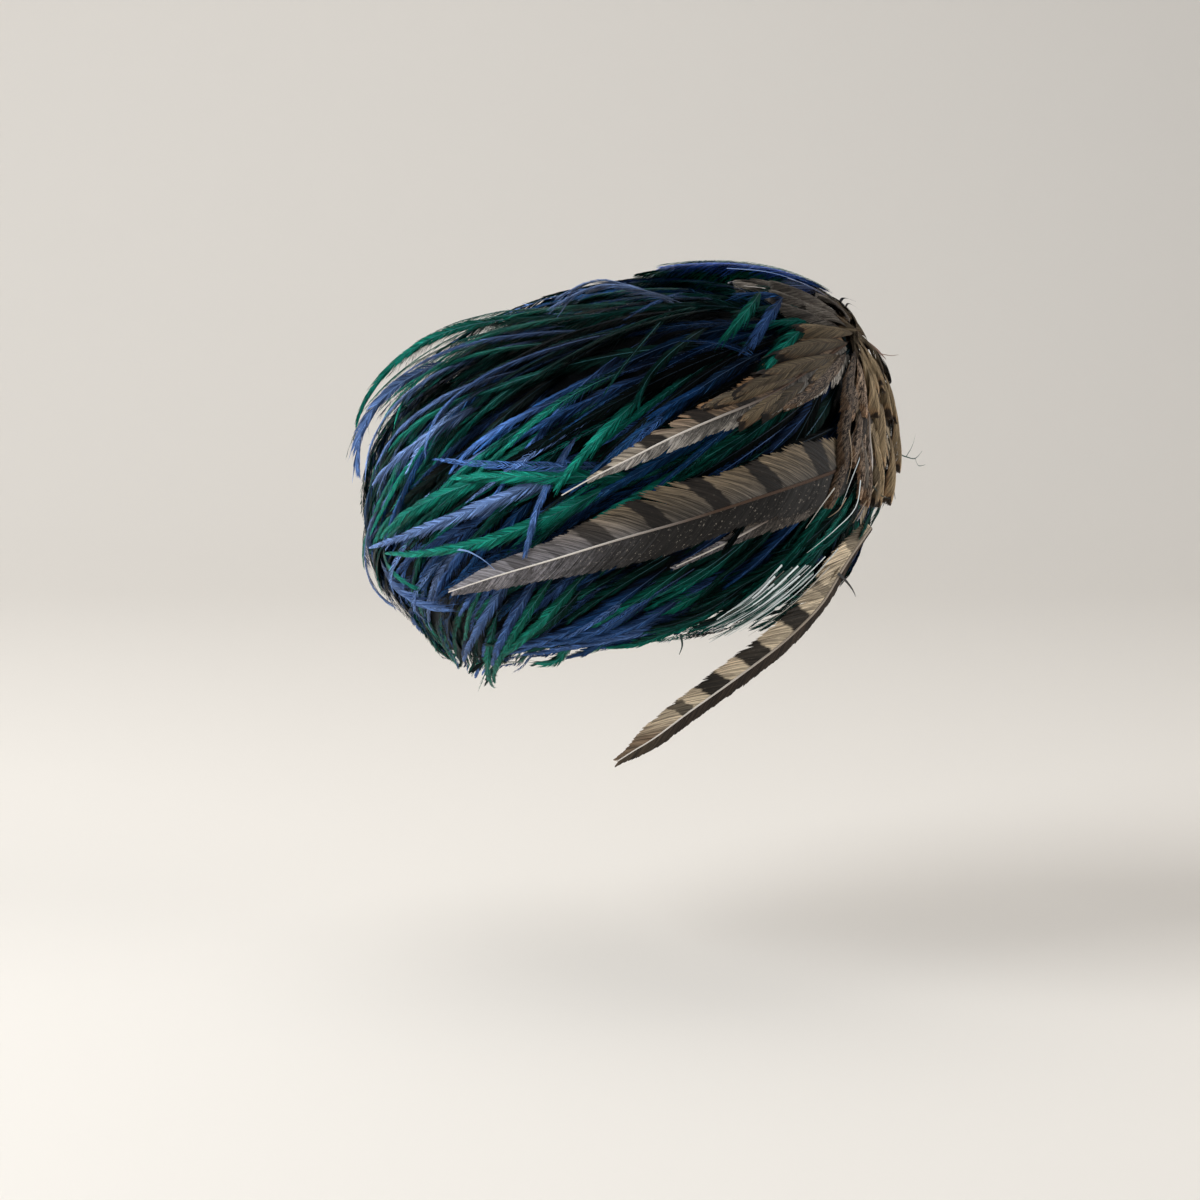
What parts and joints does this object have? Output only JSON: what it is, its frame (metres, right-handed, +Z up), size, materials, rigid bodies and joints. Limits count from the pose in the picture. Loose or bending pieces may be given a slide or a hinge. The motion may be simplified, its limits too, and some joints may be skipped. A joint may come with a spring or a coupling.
{
  "type": "feather hat",
  "caption": "Open bubble hat covered in blue and green hackles combed back from the front, with barred plumes fanned over one side and one hanging below the rim.",
  "frame": {"origin": "centre of the head opening, where the hat sits on a head", "axes": "+Z up as worn, front of the hat towards -Y, the wearer's right towards -X"},
  "size_m": [0.2294, 0.2756, 0.2196],
  "materials": {
    "felt": "matt dark felt",
    "hackle": "dyed hackle feathers in emerald green and blue violet, soft sheen",
    "coque": "glossy near-black feathers with a blue and green sheen",
    "pheasant": "natural barred tan and brown feathers, soft sheen"
  },
  "bodies": {
    "root": {"cap_frame": "felt", "hackle_coat": "hackle", "crown_tuft": "coque", "plume_crown": "pheasant", "plume_front": "pheasant", "plume_lower": "pheasant", "plume_middle": "pheasant", "plume_under": "pheasant", "plume_upper": "pheasant"}
  },
  "joints": []
}
